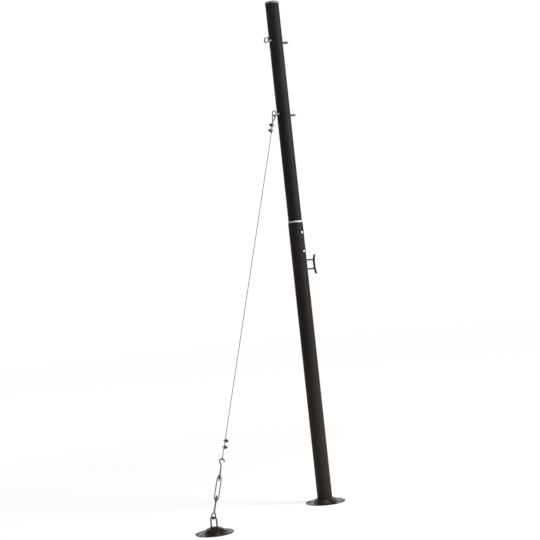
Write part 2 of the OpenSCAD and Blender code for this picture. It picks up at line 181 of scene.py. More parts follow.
# paint: slow clouding of the colour with fine paler specks, patchy gloss, and the
# pebbled skin of sprayed paint
paint_skin, ends_in, ends_out = make_group("paint_skin", SKIN_IN, SKIN_OUT)
where = ends_in.outputs["Vector"]
cloud = spread_in(paint_skin, noise_in(paint_skin, where, 9.0, 4.0), 0.35, 0.68)
speck = spread_in(paint_skin, noise_in(paint_skin, where, 420.0, 2.0), 0.66, 0.74)
tone = math_in(paint_skin, "MAXIMUM", cloud, speck)
paint_skin.links.new(
    blend_in(paint_skin, tone, ends_in.outputs["Deep"], ends_in.outputs["Pale"]),
    ends_out.inputs["Color"])
paint_skin.links.new(
    spread_in(paint_skin, noise_in(paint_skin, where, 60.0, 3.0), 0.3, 0.7,
              ends_in.outputs["Smooth"], ends_in.outputs["Rough"]),
    ends_out.inputs["Roughness"])
paint_skin.links.new(noise_in(paint_skin, where, ends_in.outputs["Grain"], 2.0),
                     ends_out.inputs["Height"])


def skin_material(name, skin, deep, pale, grain, smooth, rough, bump, patches=None,
                  **shader):
    """A Principled surface that takes colour, roughness and bump height from a skin
    group on Object coordinates. The colour lies between deep and pale, both linear, the
    roughness between smooth and rough; grain is the scale of the finest cells. patches
    gives the specular level of the dull and the glossy areas."""
    material = bpy.data.materials.new(name)
    material.use_nodes = True
    tree = material.node_tree
    surface = tree.nodes["Principled BSDF"]
    place = tree.nodes.new("ShaderNodeTexCoord")
    group = tree.nodes.new("ShaderNodeGroup")
    group.node_tree = skin
    tree.links.new(place.outputs["Object"], group.inputs["Vector"])
    group.inputs["Deep"].default_value = (*deep, 1)
    group.inputs["Pale"].default_value = (*pale, 1)
    group.inputs["Grain"].default_value = grain
    group.inputs["Smooth"].default_value = smooth
    group.inputs["Rough"].default_value = rough
    relief = tree.nodes.new("ShaderNodeBump")
    relief.inputs["Strength"].default_value = bump
    relief.inputs["Distance"].default_value = RELIEF
    tree.links.new(group.outputs["Height"], relief.inputs["Height"])
    tree.links.new(group.outputs["Color"], surface.inputs["Base Color"])
    tree.links.new(group.outputs["Roughness"], surface.inputs["Roughness"])
    tree.links.new(relief.outputs["Normal"], surface.inputs["Normal"])
    if patches:
        broad = noise_in(tree, place.outputs["Object"], PATCH_SCALE, 1.0)
        gloss = spread_in(tree, broad, 0.3, 0.72, *patches)
        gloss.node.interpolation_type = "SMOOTHERSTEP"
        tree.links.new(gloss, surface.inputs["Specular IOR Level"])
    for label, value in shader.items():
        surface.inputs[label.replace("_", " ")].default_value = value
    return material


plate_paint = skin_material(
    "plate_paint", paint_skin, deep=(0.012, 0.0098, 0.0085), pale=(0.022, 0.018, 0.0155),
    grain=520.0, smooth=0.2, rough=0.32, bump=0.1, patches=(0.0, 0.3))


def flange_skins(inside, outside, circle_r, turn):
    """The flat ring between shoulder and rim, top and bottom: plain sectors are polar
    grids, and each drilled sector is ruled from the hole's circle to its outline."""
    skins = []
    steps = round(2 * HOLE_SPAN / RING_STEP)
    side = np.linspace(-1, 1, steps + 1)[:-1]
    one = np.ones(steps)
    across = np.concatenate([side, one, -side, -one, side[:1]])
    along = np.concatenate([-one, side, one, -side, -one[:1]])
    angle = np.arctan2(along, across)
    radius = 0.5 * (inside + outside) + 0.5 * (outside - inside) * across
    for k in range(4):
        middle = turn + k * np.pi / 2
        polar = middle + HOLE_SPAN * along
        outline = np.stack([radius * np.cos(polar), radius * np.sin(polar)], -1)
        centre = circle_r * np.array([np.cos(middle), np.sin(middle)])
        out = np.stack([np.cos(angle + middle), np.sin(angle + middle)], -1)
        rings = []
        for z, inward in ((PLATE_T, -1), (0.0, 1)):
            lip = centre + (HOLE_R + HOLE_LIP) * out
            flat = [np.insert(lip + u * (outline - lip), 2, z, 1) for u in (1.0, 0.6, 0.3, 0.0)]
            edge = [np.insert(centre + (HOLE_R + HOLE_LIP * a) * out, 2,
                              z + inward * HOLE_LIP * b, 1)
                    for a, b in ((0.25, 0.12), (0.0, 0.5))]
            rings.append(flat + edge)
        skins.append(np.stack(rings[0] + rings[1][::-1]))
        gap = np.pi / 2 - 2 * HOLE_SPAN
        for z in (PLATE_T, 0.0):
            skins.append(spun([[inside, z], [outside, z]], round(gap / RING_STEP),
                              middle + HOLE_SPAN, gap))
    return skins


def plate_skins(big, ball, crown_r, slope_r, circle_r, turn):
    """A pressed plate: sphere, shoulder and rim are profiles turned about Z, drawn
    with the same angles as the drilled flange between them."""
    inside, outside, centre_z = slope_r + FLANGE_IN, big - FLANGE_OUT, DOME_H - ball
    r = np.linspace(0, crown_r - 3, 20)
    crown = np.stack([r, centre_z + np.sqrt(ball ** 2 - r ** 2)], -1)
    edge_z = centre_z + np.sqrt(ball ** 2 - crown_r ** 2)
    top = np.concatenate([crown[:-1], rounded(
        [crown[-1], [crown_r, edge_z], [slope_r, PLATE_T], [inside, PLATE_T]], TOP_BEND)])
    r = np.linspace(0, crown_r - 4.5, 20)
    under = np.stack([r, centre_z + np.sqrt((ball - PLATE_T) ** 2 - r ** 2)], -1)
    under = np.concatenate([under[:-1], rounded(
        [under[-1], [crown_r - 1.3, edge_z - 2.9], [slope_r - 1, 0], [inside, 0]], UNDER_BEND)])
    around = np.linspace(np.pi / 2, -np.pi / 2, 11)
    half = PLATE_T / 2
    rim = np.stack([big - half + half * np.cos(around), half + half * np.sin(around)], -1)
    rim = np.concatenate([[[outside, PLATE_T]], rim, [[outside, 0]]])
    count = round(2 * np.pi / RING_STEP)
    skins = [spun(line, count, turn - HOLE_SPAN) for line in (top, rim, under)]
    return skins + flange_skins(inside, outside, circle_r, turn)


make_piece("foot_plate_pressed", plate_skins(**FOOT), "foot_plate", "ground",
           plate_paint)
make_piece("anchor_plate_pressed", [skin + ANCHOR_AT for skin in plate_skins(**ANCHOR)],
           "anchor_plate", "ground", plate_paint)


# ---- Mast tubes ----
# A lower steel tube that stands on the dome and a thinner one that telescopes into
# it. Both are drawn tube with cut ends, powder coated satin black.

LEAN = np.radians(1.0)
MAST_LEN = 2380.0
LOWER_R = 35.0
LOWER_WALL = 2.5
UPPER_R = 32.25
UPPER_WALL = 2.0
LOWER_FOOT = np.sqrt(FOOT["ball"] ** 2 - (LOWER_R - LOWER_WALL) ** 2) + CLEARANCE
JOINT = 1317.0 - DOME_Z
OVERLAP = 160.0
CUT_ROUND = 0.7
CAP_H = 13.0
UPPER_TOP = MAST_LEN - DOME_Z - CAP_H


def on_mast(skins, rise=0.0):
    """Sets grids of the mast's own frame in place: up the axis by rise, leaned
    about Y toward the anchor, and down to the centre of the dome's sphere."""
    c, s = np.cos(LEAN), np.sin(LEAN)
    lean = np.array([[c, 0, -s], [0, 1, 0], [s, 0, c]])
    return [(skin + [0, 0, rise]) @ lean.T + [0, 0, DOME_Z] for skin in skins]


def tube_skin(outer, wall, low, high):
    """A tube with softened ends: a closed strip outside, over the top, down the bore
    and under the foot, turned about Z."""
    corners = [[outer, low], [outer, high], [outer - wall, high], [outer - wall, low]]
    return spun(rounded(corners, CUT_ROUND, 4, closed=True), 144)


lower_coat = skin_material(
    "lower_coat", paint_skin, deep=(0.0085, 0.0069, 0.0062), pale=(0.0125, 0.0102, 0.0092),
    grain=900.0, smooth=0.5, rough=0.6, bump=0.3, Specular_IOR_Level=0.07)

# ground dust: a paler, browner film that thins out up the lower tube, in metres
DUST_FULL = 0.25
DUST_END = 0.85
tree = lower_coat.node_tree
surface = tree.nodes["Principled BSDF"]
height = tree.nodes.new("ShaderNodeSeparateXYZ")
tree.links.new(tree.nodes["Texture Coordinate"].outputs["Object"], height.inputs["Vector"])
film = tree.nodes.new("ShaderNodeRGB")
film.outputs["Color"].default_value = (0.026, 0.0225, 0.0195, 1)
clean = surface.inputs["Base Color"].links[0].from_socket
thickness = spread_in(tree, height.outputs["Z"], DUST_FULL, DUST_END, 1.0, 0.0)
dusty = blend_in(tree, thickness, clean, film.outputs["Color"])
tree.links.new(dusty, surface.inputs["Base Color"])

upper_coat = skin_material(
    "upper_coat", paint_skin, deep=(0.0062, 0.0062, 0.0068), pale=(0.0092, 0.0092, 0.0099),
    grain=900.0, smooth=0.5, rough=0.6, bump=0.3, Specular_IOR_Level=0.07)

lower_tube = tube_skin(LOWER_R, LOWER_WALL, LOWER_FOOT, JOINT)
make_piece("lower_tube_drawn", on_mast([lower_tube]), "lower_tube", "mast",
           lower_coat)
upper_tube = tube_skin(UPPER_R, UPPER_WALL, JOINT - OVERLAP, UPPER_TOP)
make_piece("upper_tube_drawn", on_mast([upper_tube]), "upper_tube", "mast",
           upper_coat)


# ---- Joint collar ----
# A thin split ring of pale grey plastic that closes the step between the tubes. Its
# two ends meet in a zigzag so that it can be sprung over the upper tube.

COLLAR_H = 7.5
COLLAR_T = 1.4
COLLAR_IN = UPPER_R + CLEARANCE
COLLAR_OUT = COLLAR_IN + COLLAR_T
SPLIT_AT = np.radians(152)
SPLIT_GAP = np.radians(2.6)
SPLIT_SHIFT = np.radians(7)


def collar_skin():
    """The ring's strip section carried round Z; each height starts and ends at an
    angle shifted by a zigzag of that height, which cuts the matching ends."""
    rows = 10
    climb = np.linspace(CLEARANCE, COLLAR_H, rows)
    outside = np.stack([np.full(rows, COLLAR_OUT), climb], -1)
    inside = np.stack([np.full(rows, COLLAR_IN), climb[::-1]], -1)
    strip = np.concatenate([outside, inside, outside[:1]])
    zigzag = SPLIT_SHIFT * np.interp(strip[:, 1], np.linspace(0, COLLAR_H, 4), [0, 1, 0, 1])
    t = np.linspace(0, 1, 121)
    angle = SPLIT_AT + zigzag[:, None] + SPLIT_GAP / 2 + (2 * np.pi - SPLIT_GAP) * t
    r = strip[:, :1]
    ring = np.stack([r * np.cos(angle), r * np.sin(angle), strip[:, 1:] + 0 * angle], -1)
    shut = [np.stack([ring[:rows, k], ring[2 * rows - 1:rows - 1:-1, k]]) for k in (0, -1)]
    return [ring] + shut


collar_plastic = skin_material(
    "collar_plastic", paint_skin, deep=(0.4, 0.403, 0.41), pale=(0.48, 0.484, 0.49),
    grain=1200.0, smooth=0.42, rough=0.56, bump=0.3, Specular_IOR_Level=0.35)
make_piece("joint_collar_split", on_mast(collar_skin(), JOINT), "joint_collar", "mast",
           collar_plastic, crease=30)


# ---- Top cap ----
# A moulded grey plastic plug: a low domed lid a little wider than the tube, and a
# skirt pressed into the bore. Fine spark texture on the lid.

LID_R = UPPER_R + 1.1
LID_EDGE_H = 10.4
LID_CURVE = 220.0
SKIRT_OUT = UPPER_R - UPPER_WALL - CLEARANCE
SKIRT_IN = SKIRT_OUT - 3.0
SKIRT_END = -24.0
r = np.linspace(0, LID_R - 2.4, 14)
lid = np.stack([r, CAP_H - LID_CURVE + np.sqrt(LID_CURVE ** 2 - r ** 2)], -1)
side = rounded([lid[-1], [LID_R, LID_EDGE_H], [LID_R, 0.3], [SKIRT_OUT, 0.3],
                [SKIRT_OUT, SKIRT_END], [SKIRT_IN, SKIRT_END], [SKIRT_IN, -2], [0.01, -2]],
               [0, 1.4, 0.5, 0.15, 0.8, 0.8, 0.8, 0])
cap_profile = np.concatenate([lid[:-1], side, [[0, -2]]])
cap_plastic = skin_material(
    "cap_plastic", paint_skin, deep=(0.085, 0.086, 0.09), pale=(0.11, 0.111, 0.115),
    grain=1400.0, smooth=0.5, rough=0.62, bump=0.5, Specular_IOR_Level=0.3)
make_piece("top_cap_moulded", on_mast([spun(cap_profile, 120)], UPPER_TOP), "top_cap", "mast",
           cap_plastic)


# ---- Joint screws ----
# Two button head machine screws of bright steel through both tubes, each with a
# six sided recess for its key.

HEAD_R = 6.5
HEAD_H = 4.2
KEY_R = 2.6
SCREW_R = 4.0
SCREW_END = -10.0
SCREW_DROPS = {"upper": 50.0, "lower": 139.0}


def screw_skin():
    """A button head turned about Z. Past the recess's lip the circle gives way to a
    hexagon: its radius is the flat's distance over the cosine of the angle from it."""
    count = 97
    angle = np.linspace(0, 2 * np.pi, count)
    flat = KEY_R * np.cos(np.pi / 6)
    hexagon = flat / np.cos((angle % (np.pi / 3)) - np.pi / 6)
    band = 1.2
    dome = np.linspace(0, 1, 9)
    head = [(SCREW_R, SCREW_END, 0), (SCREW_R, 0.0, 0), (HEAD_R - 0.3, 0.0, 0),
            (HEAD_R, 0.3, 0), (HEAD_R, band, 0)]
    head += [(HEAD_R - 3.4 * d ** 2.2, band + (HEAD_H - band) * np.sin(d * np.pi / 2), 0)
             for d in dome[1:]]
    head += [(KEY_R + 0.25, HEAD_H, 0.0), (KEY_R, HEAD_H - 0.2, 1.0), (KEY_R, 1.9, 1.0),
             (0.8, 1.6, 1.0), (0.0, 1.5, 1.0)]
    r, z, key = np.array(head).T
    radius = np.where(key[:, None] > 0, hexagon * r[:, None] / KEY_R, r[:, None] + 0 * angle)
    skin = np.stack([radius * np.cos(angle), radius * np.sin(angle),
                     z[:, None] + 0 * angle], -1)
    end = np.zeros((1, count, 3)) + [0, 0, SCREW_END]
    return np.concatenate([end, skin])


def toward_front(skins, seat):
    """Lays grids that stand on Z over to point along -Y, seat from the axis."""
    return [np.stack([s[..., 0], -s[..., 2] - seat, s[..., 1]], -1) for s in skins]


# bare and plated metal: crystals of slightly different tone, fine scratches, mixed gloss
metal_skin, ends_in, ends_out = make_group("metal_skin", SKIN_IN, SKIN_OUT)
where = ends_in.outputs["Vector"]
crystal = metal_skin.nodes.new("ShaderNodeTexVoronoi")
metal_skin.links.new(where, crystal.inputs["Vector"])
metal_skin.links.new(ends_in.outputs["Grain"], crystal.inputs["Scale"])
facet = metal_skin.nodes.new("ShaderNodeSeparateColor")
metal_skin.links.new(crystal.outputs["Color"], facet.inputs["Color"])
stain = noise_in(metal_skin, where, 130.0, 5.0)
tone = metal_skin.nodes.new("ShaderNodeMath")
tone.operation = "MULTIPLY_ADD"
tone.inputs[1].default_value = 0.35
metal_skin.links.new(facet.outputs["Red"], tone.inputs[0])
metal_skin.links.new(spread_in(metal_skin, stain, 0.34, 0.66, 0.0, 0.65), tone.inputs[2])
metal_skin.links.new(
    blend_in(metal_skin, tone.outputs[0], ends_in.outputs["Deep"], ends_in.outputs["Pale"]),
    ends_out.inputs["Color"])
metal_skin.links.new(
    spread_in(metal_skin, noise_in(metal_skin, where, 310.0, 3.0), 0.3, 0.7,
              ends_in.outputs["Smooth"], ends_in.outputs["Rough"]),
    ends_out.inputs["Roughness"])
metal_skin.links.new(noise_in(metal_skin, where, 1500.0, 3.0), ends_out.inputs["Height"])

screw_steel = skin_material(
    "screw_steel", metal_skin, deep=(0.2, 0.2, 0.205), pale=(0.36, 0.36, 0.365), grain=700.0,
    smooth=0.26, rough=0.4, bump=0.12, Metallic=1.0)
front_screw = toward_front([screw_skin()], LOWER_R + CLEARANCE)
for name, drop in SCREW_DROPS.items():
    make_piece(f"joint_screw_{name}_head", on_mast(front_screw, JOINT - drop),
               f"joint_screw_{name}", "mast", screw_steel, crease=30)


# ---- Eyes ----
# Cast stainless eye bolts in two pairs. Each ring grows out of a flared neck on a
# round seat against the tube; the outer one's shank screws into the inner one.

EYE_REACH = UPPER_R + 30.25
EYE_R = 12.25
EYE_BAR = 3.25
SHANK_R = 4.0
SHANK_PAST = 8.0
SEAT_R = 7.0
SEAT_H = 4.6
UPPER_EYE_DROP = 190.0
LOWER_EYE_DROP = 543.0


def carried(path, normal, section, scale=None, spin=None):
    """Carries a section along a path: each point is the path's, plus the section's
    first value along the normal and its second along the tangent crossed with it.
    scale shrinks the section along the path and spin turns it."""
    path = np.asarray(path, float)
    along = np.gradient(path, axis=0)
    along /= np.linalg.norm(along, axis=1)[:, None]
    normal = np.broadcast_to(normal, path.shape)
    normal = normal - (normal * along).sum(1)[:, None] * along
    normal = normal / np.linalg.norm(normal, axis=1)[:, None]
    side = np.cross(along, normal)
    sections = np.broadcast_to(section, (len(path),) + np.shape(section)[-2:])
    a, b = np.moveaxis(sections, 2, 0)
    if scale is not None:
        a, b = a * scale[:, None], b * scale[:, None]
    if spin is not None:
        c, s = np.cos(spin)[:, None], np.sin(spin)[:, None]
        a, b = a * c - b * s, a * s + b * c
    return path[:, None] + a[..., None] * normal[:, None] + b[..., None] * side[:, None]


def circle(radius, count):
    """A closed round section."""
    t = np.linspace(0, 2 * np.pi, count + 1)
    return np.stack([radius * np.cos(t), radius * np.sin(t)], -1)


def eye_skins(side, turn, shank):
    """Ring, neck and seat of one eye along side times X; turn rolls the ring about
    that line. The ring is a circle carried round a circle, the neck a flared profile."""
    t = np.linspace(0, 2 * np.pi, 97)
    c, s = np.cos(turn), np.sin(turn)
    ring = np.stack([EYE_R * np.cos(t), 0 * t, EYE_R * np.sin(t)], -1)
    ring = ring @ np.array([[1, 0, 0], [0, c, s], [0, -s, c]]) + [EYE_REACH, 0, 0]
    lapped = np.concatenate([ring[-2:-1], ring, ring[1:2]])
    round_bar = carried(lapped, np.array([0.0, c, s]), circle(EYE_BAR, 28))[1:-1]
    start = UPPER_R + CLEARANCE
    neck_start = start + SEAT_H
    end = EYE_REACH - EYE_R - 0.5
    f = np.linspace(0, 1, 9)
    waist, low_flare, high_flare = 3.6, 2.7, 0.9
    neck = np.stack([waist + low_flare * (1 - f) ** 2.2 + high_flare * f ** 3,
                     neck_start + (end - neck_start) * f], -1)
    seat = rounded([[SHANK_R - 1, start], [SEAT_R, start], [SEAT_R, neck_start - 0.4],
                    [6.3, neck_start]], [0, 0.5, 0.9, 0])
    profile = np.concatenate([seat, neck[1:], [[0, end + 1.5]]])
    if shank:
        far = -UPPER_R - SHANK_PAST
        profile = np.concatenate([[[0, far], [SHANK_R, far], [SHANK_R, start]], profile])
    else:
        profile = np.concatenate([[[0, start]], profile])
    turned = spun(profile, 72)
    body = np.stack([turned[..., 2], turned[..., 0], turned[..., 1]], -1)
    return [skin * [side, 1, 1] for skin in (round_bar, body)]


eye_steel = skin_material(
    "eye_steel", metal_skin, deep=(0.055, 0.055, 0.057), pale=(0.15, 0.15, 0.153), grain=480.0,
    smooth=0.12, rough=0.24, bump=0.12, Metallic=1.0)
for level, drop, roll in (("upper", UPPER_EYE_DROP, np.radians(28)),
                          ("lower", LOWER_EYE_DROP, 0.0)):
    rise = MAST_LEN - DOME_Z - drop
    make_piece(f"outer_{level}_eye_cast", on_mast(eye_skins(-1, roll, True), rise),
               f"outer_{level}_eye", "mast", eye_steel)
    make_piece(f"inner_{level}_eye_cast", on_mast(eye_skins(1, np.pi / 2, False), rise),
               f"inner_{level}_eye", "mast", eye_steel)


# ---- Cleat ----
# A black cast horn cleat for the halyard: a bowed bar with tapering round horns on
# two legs, whose feet seat on the lower tube.

CLEAT_AT = JOINT - 200.0
CLEAT_REACH = LOWER_R + 63.0
CLEAT_BAR = 85.0
CLEAT_BAR_R = 5.3
CLEAT_TIP = 3.4
CLEAT_GAP = 43.0
CLEAT_SAG = 7.0
CLEAT_FOOT_R = 6.5
CLEAT_LEG_R = 3.55


def cleat_skins():
    """The bar is a circle of changing radius along an arc: full between the legs, a
    tenth less at the horns' rounded tips. Legs are flared profiles."""
    half = CLEAT_BAR / 2
    bow = (half ** 2 + CLEAT_SAG ** 2) / (2 * CLEAT_SAG)
    ball = np.linspace(0, np.pi / 2, 9)
    reach = half + CLEAT_BAR_R * 0.3
    cap = reach + CLEAT_TIP * np.sin(ball)
    z = np.concatenate([-cap[::-1], np.linspace(-reach, reach, 61)[1:-1], cap])
    tip = np.clip((reach + CLEAT_TIP - np.abs(z)) / CLEAT_TIP, 0, 1)
    horn_at, horn_run = 22.0, 20.0
    taper = 1 - 0.1 * np.clip((np.abs(z) - horn_at) / horn_run, 0, 1) ** 1.4
    size = np.sqrt(np.clip(1 - (1 - tip) ** 2, 0, 1)) * taper
    x = CLEAT_REACH + bow - np.sqrt(bow ** 2 - z ** 2)
    bar = carried(np.stack([x, 0 * z, z], -1), [0, 1, 0], circle(CLEAT_BAR_R, 32), size)
    start = LOWER_R + CLEARANCE
    length = CLEAT_REACH + 0.5 - start
    pad = 1.6
    f = np.linspace(0, 1, 25)
    flare = (CLEAT_LEG_R + 2.8 * np.exp(-f * length / 3.0)
             + 1.1 * np.exp(-(1 - f) * length / 4.0))
    profile = np.concatenate([[[0, -2], [3, -2], [3, 0], [CLEAT_FOOT_R, 0],
                               [CLEAT_FOOT_R, pad - 0.2]],
                              np.stack([flare, pad + f * (length - pad)], -1), [[0, length]]])
    turned = spun(profile, 48)
    leg = np.stack([turned[..., 2] + start, turned[..., 0], turned[..., 1]], -1)
    return [bar, leg + [0, 0, CLEAT_GAP / 2], leg - [0, 0, CLEAT_GAP / 2]]


cleat_coat = skin_material(
    "cleat_coat", paint_skin, deep=(0.004, 0.004, 0.0042), pale=(0.008, 0.008, 0.0085),
    grain=800.0, smooth=0.4, rough=0.52, bump=0.4, Specular_IOR_Level=0.12)
make_piece("cleat_cast", on_mast(cleat_skins(), CLEAT_AT), "cleat", "mast",
           cleat_coat)


# ---- Thimble ----
# A galvanised sheet thimble, a half round channel bent to a teardrop, that keeps
# the wire from crushing where it hangs in the lower outer eye.

# the guy's line runs from the top of the anchor's loop to the middle of the eye
LOOP_H = 66.0
LOWER_EYE = MAST_LEN - DOME_Z - LOWER_EYE_DROP
eye_at = np.array([-LOWER_EYE * np.sin(LEAN) - EYE_REACH * np.cos(LEAN), 0,
                   DOME_Z + LOWER_EYE * np.cos(LEAN) - EYE_REACH * np.sin(LEAN)])
loop_at = ANCHOR_AT + [0, 0, LOOP_H]
GUY_LEN = np.linalg.norm(eye_at - loop_at)
GUY_AXIS = (eye_at - loop_at) / GUY_LEN

WIRE_R = 1.5
THIMBLE_R = 10.5
THIMBLE_STEP = 0.9
THIMBLE_GAP = 7.5
CHANNEL_R = WIRE_R + 1.4
CHANNEL_BORE = WIRE_R + 0.35
STRAND_GAP = 2 * WIRE_R + 0.4
CROWN = GUY_LEN - EYE_R - (THIMBLE_R - CHANNEL_R - EYE_BAR - CLEARANCE)
LOOP_DROP = 2.5 * THIMBLE_R


def on_guy(skins, rise=0.0, turn=0.0):
    """Sets grids of the guy's own frame in place: turned about its axis, up it by
    rise, and tilted from upright to the line from the anchor loop to the eye."""
    tilt = np.array([[GUY_AXIS[2], 0, GUY_AXIS[0]], [0, 1, 0], [-GUY_AXIS[0], 0, GUY_AXIS[2]]])
    c, s = np.cos(turn), np.sin(turn)
    roll = np.array([[c, -s, 0], [s, c, 0], [0, 0, 1]])
    return [(g @ roll.T + [0, 0, rise]) @ tilt.T + loop_at for g in skins]


def loop_path(big, below):
    """The eye of a wire loop in the XZ plane, from the tail's strand over the top to
    the main one: a tangent, an arc of radius big about the origin, and a tangent."""
    a = np.arcsin(big / below)
    b = np.arcsin(big / np.hypot(STRAND_GAP, below)) - np.arctan2(STRAND_GAP, below)
    t = np.linspace(-b, np.pi + a, 40)
    arc = np.stack([big * np.cos(t), 0 * t, big * np.sin(t)], -1)
    return np.concatenate([[[STRAND_GAP, 0, -below]], arc, [[0, 0, -below]]])


def from_ends(count):
    """How many places each of count points lies from the nearer end."""
    place = np.arange(count)
    return np.minimum(place, place[::-1])


def closing(skin):
    """Grids that close a carried skin at both ends, toward each end's middle."""
    return [np.stack([skin[k], np.repeat(skin[k].mean(0)[None], skin.shape[1], 0)])
            for k in (0, -1)]


def evened(path, spacing, soften=0):
    """Walks a path at even steps; soften averages each point with that many on
    either side, which eases its corners."""
    path = np.asarray(path, float)
    lengths = np.linalg.norm(np.diff(path, axis=0), axis=1)
    gone = np.concatenate([[0], np.cumsum(lengths)])
    here = np.linspace(0, gone[-1], int(gone[-1] / spacing) + 2)
    even = np.stack([np.interp(here, gone, path[:, k]) for k in range(3)], -1)
    if soften:
        span = 2 * soften + 1
        window = np.ones(span) / span
        wide = np.pad(even, ((soften, soften), (0, 0)), "edge")
        middle = np.stack([np.convolve(wide[:, k], window, "valid") for k in range(3)], -1)
        ease = np.clip(from_ends(len(even)) / soften, 0, 1)[:, None]
        even = even * (1 - ease) + middle * ease
    return even


def channel_section():
    """A half round sheet channel open to the outside, its two lips rounded."""
    wide = np.radians(78)
    t = np.linspace(wide, 2 * np.pi - wide, 19)
    arc = np.stack([np.cos(t), np.sin(t)], -1)
    outer, inner = CHANNEL_R * arc, CHANNEL_BORE * arc[::-1]
    lips = [(outer[k] + inner[-1 - k]) / 2 * [2.2, 1.0] for k in (-1, 0)]
    return np.concatenate([outer, lips[:1], inner, lips[1:], outer[:1]])


thimble_zinc = skin_material(
    "thimble_zinc", metal_skin, deep=(0.07, 0.071, 0.073), pale=(0.18, 0.182, 0.186),
    grain=350.0, smooth=0.28, rough=0.46, bump=0.2, Metallic=0.9)
teardrop = evened(loop_path(THIMBLE_R, LOOP_DROP), THIMBLE_STEP)
teardrop = teardrop[teardrop[:, 2] > -LOOP_DROP + THIMBLE_GAP]
inward = np.cross(np.gradient(teardrop, axis=0), [0, 1.0, 0])
channel = carried(teardrop, -inward, channel_section())
make_piece("thimble_bent", on_guy([channel] + closing(channel), CROWN, np.pi / 2), "thimble",
           "guy_upper", thimble_zinc)


# ---- Guy wire ----
# Galvanised steel wire rope, six strands laid round a core. One length runs from the
# thimble's loop to the loop in the turnbuckle's hook, both with a short tail.

BODY_AT = 65.0
BODY_LEN = 113.0
HOOK_ROD = 57.0
HOOK_AT = BODY_AT + BODY_LEN + HOOK_ROD
HOOK_R = 10.0
LINK_BAR = 3.1
LOW_BEND_R = 6.5
LOW_BEND = HOOK_AT + HOOK_R - LINK_BAR - WIRE_R - CLEARANCE + LOW_BEND_R
LOW_DROP = 32.0
STRAND_RUN = 17.0
CLIP_GAP = 27.5
TAIL_RUN = 14.0
ROPE_LAY = 21.0
ROPE_STEP = 1.7

HOOK_TURN = np.radians(137)
TOP_STRAND = CROWN - LOOP_DROP
LOW_STRAND = LOW_BEND + LOW_DROP
TOP_TURN = np.pi / 2
LOW_TURN = HOOK_TURN + np.pi / 2


def ended(big, below):
    """A wire loop with its tail, which reaches past both clips."""
    tail = STRAND_RUN + CLIP_GAP + TAIL_RUN
    return np.concatenate([[[STRAND_GAP, 0, -below - tail]], loop_path(big, below)])


high_set = on_guy([ended(THIMBLE_R, LOOP_DROP)[None]], CROWN, TOP_TURN)[0][0]
low_path = ended(LOW_BEND_R, LOW_DROP) * [1, 1, -1]
low_set = on_guy([low_path[None]], LOW_BEND, LOW_TURN)[0][0][::-1]
rope_path = evened(np.concatenate([high_set, low_set]), ROPE_STEP, 3)

# the plane of the two strands turns evenly from the lower loop's to the upper one's
rise = (rope_path - loop_at) @ GUY_AXIS
share = np.clip((rise - LOW_STRAND) / (TOP_STRAND - LOW_STRAND), 0, 1)
flat_turn = HOOK_TURN + np.pi - share * HOOK_TURN
across = np.cross([0, 1.0, 0], GUY_AXIS)
rope_normal = np.cos(flat_turn)[:, None] * across + np.sin(flat_turn)[:, None] * [0, 1.0, 0]

# the section is the outline of six round strands about the core
lobe = np.linspace(0, 2 * np.pi, 37)
off = (lobe + np.pi / 6) % (np.pi / 3) - np.pi / 6
strand_far = 2 * WIRE_R / 3
strand_half = WIRE_R / 3
bulge = np.sqrt(np.clip(strand_half ** 2 - (strand_far * np.sin(off)) ** 2, 0, None))
outline = strand_far * np.cos(off) + bulge
rosette = np.stack([outline * np.cos(lobe), outline * np.sin(lobe)], -1)
walk = np.arange(len(rope_path)) * ROPE_STEP
rope = carried(rope_path, rope_normal, rosette, spin=walk * 2 * np.pi / ROPE_LAY)
wire_zinc = skin_material(
    "wire_zinc", metal_skin, deep=(0.025, 0.0254, 0.026), pale=(0.06, 0.061, 0.0625),
    grain=420.0, smooth=0.34, rough=0.5, bump=0.1, Metallic=0.9)
make_piece("guy_wire_laid", [rope] + closing(rope), "guy_wire", "guy_upper",
           wire_zinc, crease=50)


# ---- Wire clips ----
# Four wire rope clips, two at each loop: a bent bolt with screwed legs round both
# strands, a forged saddle across its legs, and two hexagon nuts.

CLIP_BAR = 2.2
CLIP_HALF = STRAND_GAP / 2 + WIRE_R + CLEARANCE + CLIP_BAR
CLIP_LEG = 16.0
CLIP_SCREW = 6.0
CLIP_PITCH = 0.8
CLIP_THREAD = 0.38
SADDLE_H = 7.0
SADDLE_L = 17.0
SADDLE_FOOT = 4.2
NUT_R = 4.6
NUT_H = 4.0


def threaded(height, turns, pitch, depth, start, stop):
    """How far a screwed bar's skin lies from its full radius: a triangle wave of
    the distance over the pitch less the turn, let in from start to stop."""
    wave = np.abs(((height / pitch - turns) % 1) * 2 - 1)
    let = np.clip((height - start) / pitch, 0, 1) * np.clip((stop - height) / pitch, 0, 1)
    return -depth * wave * let


def ending(skin, path):
    """Grids that close a carried skin at both ends, toward the path's own ends."""
    return [np.stack([skin[k], np.repeat(path[k][None], skin.shape[1], 0)]) for k in (0, -1)]


